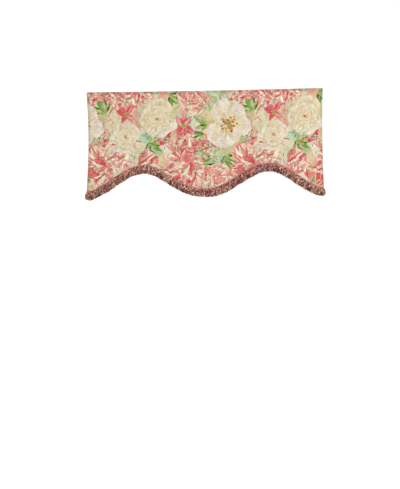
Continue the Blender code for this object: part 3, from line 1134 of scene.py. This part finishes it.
def build_layer(layer, edge, material):
    """One row of cut yarns, each a thin twisted tube."""
    chance = np.random.default_rng(layer.seed)
    total = edge.way[-1]
    way = (np.arange(layer.count) + chance.uniform(0.1, 0.9, layer.count)) / layer.count * total
    place = on_edge(edge, way)
    path = yarn_paths(layer, place, total, chance)

    ahead = unit(np.gradient(path, axis=1))
    side = unit(np.cross(ahead, place.facing[:, None]) + 0.3 * place.along[:, None])
    other = np.cross(ahead, side)
    t = ring_shares(way)
    radius = YARN_RADIUS * chance.uniform(0.8, 1.25, layer.count)[:, None, None] * (1 + SWELL * t)
    spin = chance.uniform(0, tau, layer.count)[:, None, None] + TWIST * t
    spin = (spin + np.arange(SIDES) * tau / SIDES)[..., None]
    ring = np.cos(spin) * side[:, :, None] + np.sin(spin) * other[:, :, None]
    points = path[:, :, None] + radius[..., None] * ring

    faces = tube_faces(layer.count, RINGS, SIDES)
    piece = new_piece(layer.name, points.reshape(-1, 3), faces, material)
    map_for_bake(piece, yarn_map(layer.count))
    store_colour(piece, "yarn", corner_tones(yarn_tones(way, chance)), "CORNER")
    reach = path - place.point[:, None]
    over = way[:, None] + np.sum(reach * place.along[:, None], axis=2)
    fall = np.sum(reach * place.down[:, None], axis=2)
    seen = np.stack((over, fall, 0 * over), axis=-1)
    store(piece, "place", np.repeat(seen.reshape(-1, 3), SIDES, axis=0))
    return piece


def fleck_of(way):
    return np.floor(way / FLECK).astype(int)


def yarn_tones(way, chance):
    """A colour for each stretch of each yarn, alike within a fleck."""
    colours = np.array([row.colour for row in YARNS])
    limits = np.cumsum([row.share for row in YARNS]) / 100
    stretch = np.arange(RINGS - 1)[None, :]
    cell = fleck_of(way)[:, None] + 0 * stretch
    pick = (lattice(cell, stretch + 0 * cell, FLECK_SEED) + 1) / 2
    pick = np.where(chance.random(pick.shape) < STRAY, chance.random(pick.shape), pick)
    tone = colours[np.minimum(np.searchsorted(limits, pick), len(YARNS) - 1)]
    # painted light, from each yarn's root to its end
    depth = np.linspace(ROOT_PAINTED_LIGHT, END_PAINTED_LIGHT, RINGS - 1)[None, :, None]
    wander = 1 + 0.06 * clouds(way / 0.06, way * 0, 5)[:, None, None]
    ruddy = np.exp(-(((way - RUDDY_AT) / RUDDY_REACH) ** 2))[:, None, None]
    tone = tone * depth * wander * (1 - ruddy * RUDDY)
    return light_of(np.clip(tone, 0, 1)) * YARN_GAIN


def corner_tones(tone):
    """The stretches' colours at the corners of tube_faces: the walls', then the ends'."""
    walls = np.repeat(tone.reshape(-1, 3), 4 * SIDES, axis=0)
    ends = np.repeat(tone[:, (0, -1)].reshape(-1, 3), SIDES, axis=0)
    return np.concatenate((walls, ends))


def build_heading(edge, material):
    """The woven tape that the yarns are sewn to, under the cloth's edge."""
    low = SEAM_GAP + HEADING_HEIGHT
    corners = np.array(((SEAM_GAP, 1), (low, 1), (low, -1), (SEAM_GAP, -1)))
    points = (edge.point[:, None] + edge.down[:, None] * corners[:, :1]
              + edge.facing[:, None] * corners[:, 1:] * HEADING_HALF)[::4]
    faces = tube_faces(1, len(points), 4)
    piece = new_piece("fringe_heading", points.reshape(-1, 3), faces, material)
    store_colour(piece, "yarn", light_of(np.tile(HEADING_TONE, (len(points) * 4, 1))))
    return piece


# ---------- light and camera

CAMERA_DISTANCE = 3.6
CAMERA_X = -0.0347
CAMERA_Z = -0.7078
CAMERA_ROLL = radians(1.07)  # the photographed valance's right side stands higher
FRAME_HEIGHT = 2.252  # what the picture's height takes in at the valance

SKY_STRENGTH = 1.1
KEY_PLACE = (2.2, -2.6, 1.4)
KEY_AIM = Vector((0, 0, -0.25))
KEY_SIZE = 1.6
KEY_WATTS = 55

FLOOR_Z = -2.05
FLOOR_HALF = 7.0


def set_camera():
    camera = put("camera", bpy.data.cameras.new("camera"))
    camera.data.lens = camera.data.sensor_width * CAMERA_DISTANCE / FRAME_HEIGHT
    camera.location = (CAMERA_X, -CAMERA_DISTANCE, CAMERA_Z)
    camera.rotation_euler = (pi / 2, CAMERA_ROLL, 0)
    bpy.context.scene.camera = camera


def set_light():
    world = bpy.data.worlds.new("studio")
    world.use_nodes = True
    tree = world.node_tree
    fill(tree, tree.nodes["Background"], {"Color": (1, 1, 1, 1), "Strength": SKY_STRENGTH})
    bpy.context.scene.world = world
    lamp = put("key", bpy.data.lights.new("key", "AREA"))
    lamp.data.size = KEY_SIZE
    lamp.data.energy = KEY_WATTS
    lamp.visible_camera = False
    lamp.location = KEY_PLACE
    lamp.rotation_euler = (KEY_AIM - lamp.location).to_track_quat("-Z", "Y").to_euler()
    bpy.context.scene.view_settings.view_transform = "Standard"


def set_floor():
    sides = ((-1, -1), (1, -1), (1, 1), (-1, 1))
    corners = [(FLOOR_HALF * x, FLOOR_HALF * y, FLOOR_Z) for x, y in sides]
    put("floor", new_mesh("floor", corners, [(0, 1, 2, 3)], plain_floor()))


def main():
    set_camera()
    set_light()
    set_floor()
    cloth = build_cloth(printed_cotton())
    edge = lower_edge()
    material = cut_yarn()
    fringe = [build_heading(edge, material)]
    fringe += [build_layer(layer, edge, material) for layer in LAYERS]
    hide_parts("brush_fringe")


main()
